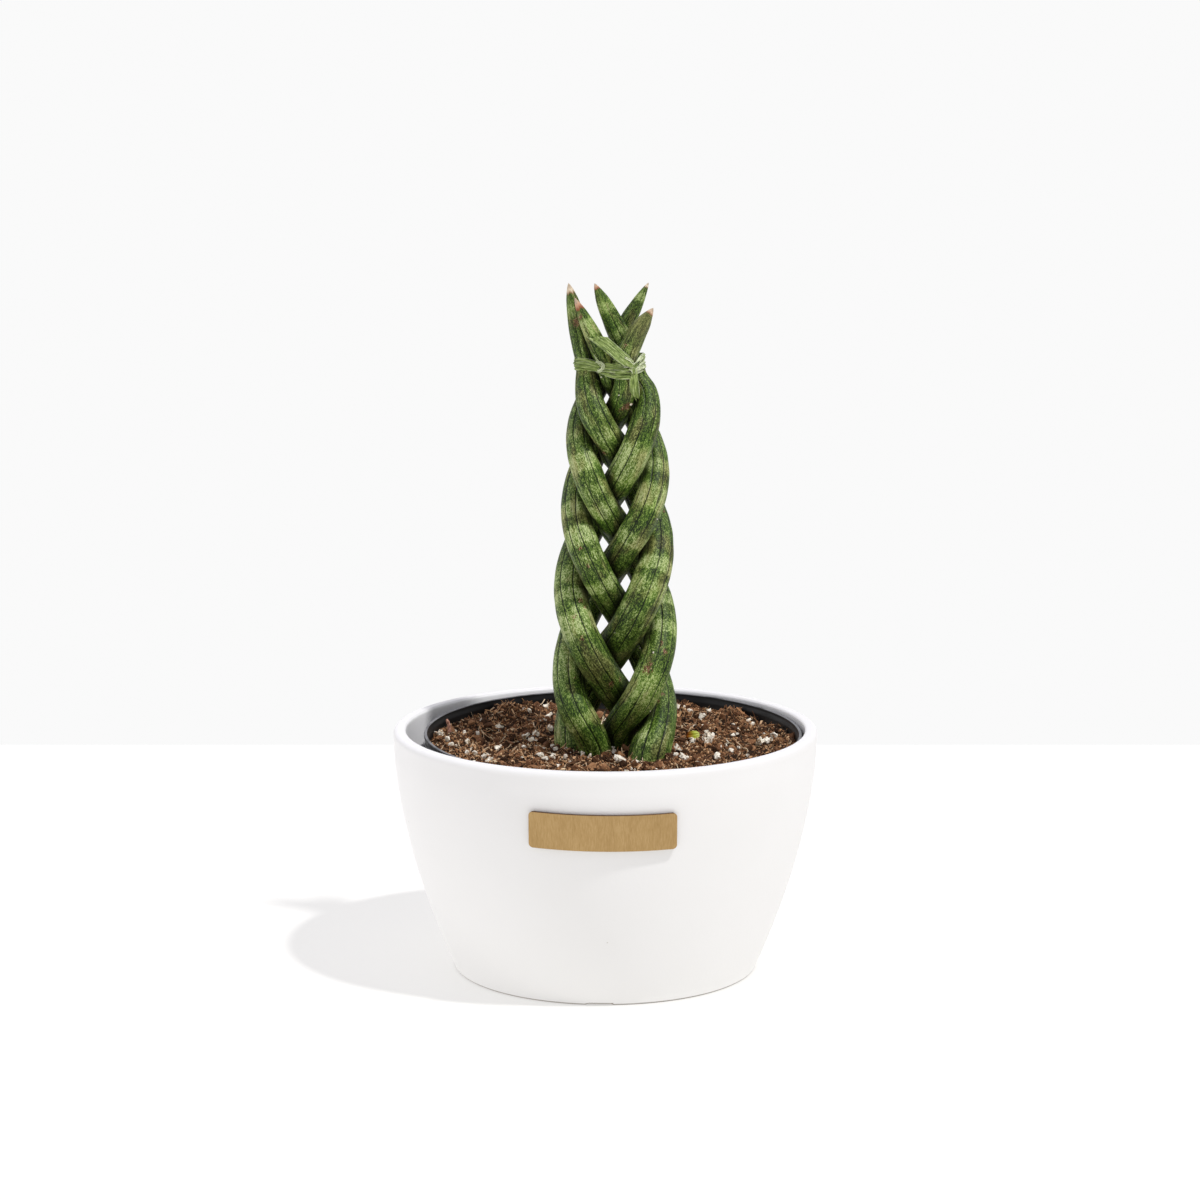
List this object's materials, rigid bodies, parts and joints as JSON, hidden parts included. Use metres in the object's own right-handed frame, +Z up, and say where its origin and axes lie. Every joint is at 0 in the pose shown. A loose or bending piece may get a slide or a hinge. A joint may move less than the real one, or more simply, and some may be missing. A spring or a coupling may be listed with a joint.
{
  "type": "potted cylindrical snake plant",
  "caption": "Round snake plant leaves plaited into a column and tied near their tips, growing in soil in a black grower's pot inside a white ceramic cover pot with a blank brass plate.",
  "frame": {"origin": "centre of the cover pot's flat base, on the surface it stands on", "axes": "+Z up along the pot's axis; -Y is the front, the side with the brass plate; +X to the right of it"},
  "size_m": [0.1822, 0.183, 0.2954],
  "materials": {
    "white_ceramic": "satin",
    "antique_brass": "satin",
    "black_plastic": "satin",
    "potting_mix": "matte",
    "leaf": "satin",
    "raffia": "matte",
    "pale_leaf": "satin",
    "bark": "matte"
  },
  "bodies": {
    "root": {"outer_pot": "white_ceramic", "plate": "antique_brass", "nursery_pot": "black_plastic", "soil": "potting_mix", "leaf_tall_left": "leaf", "leaf_middle": "leaf", "leaf_right_back": "leaf", "leaf_left_front": "leaf", "leaf_right_front": "leaf", "tie": "raffia", "leaf_scrap": "pale_leaf", "twig": "bark"}
  },
  "joints": []
}
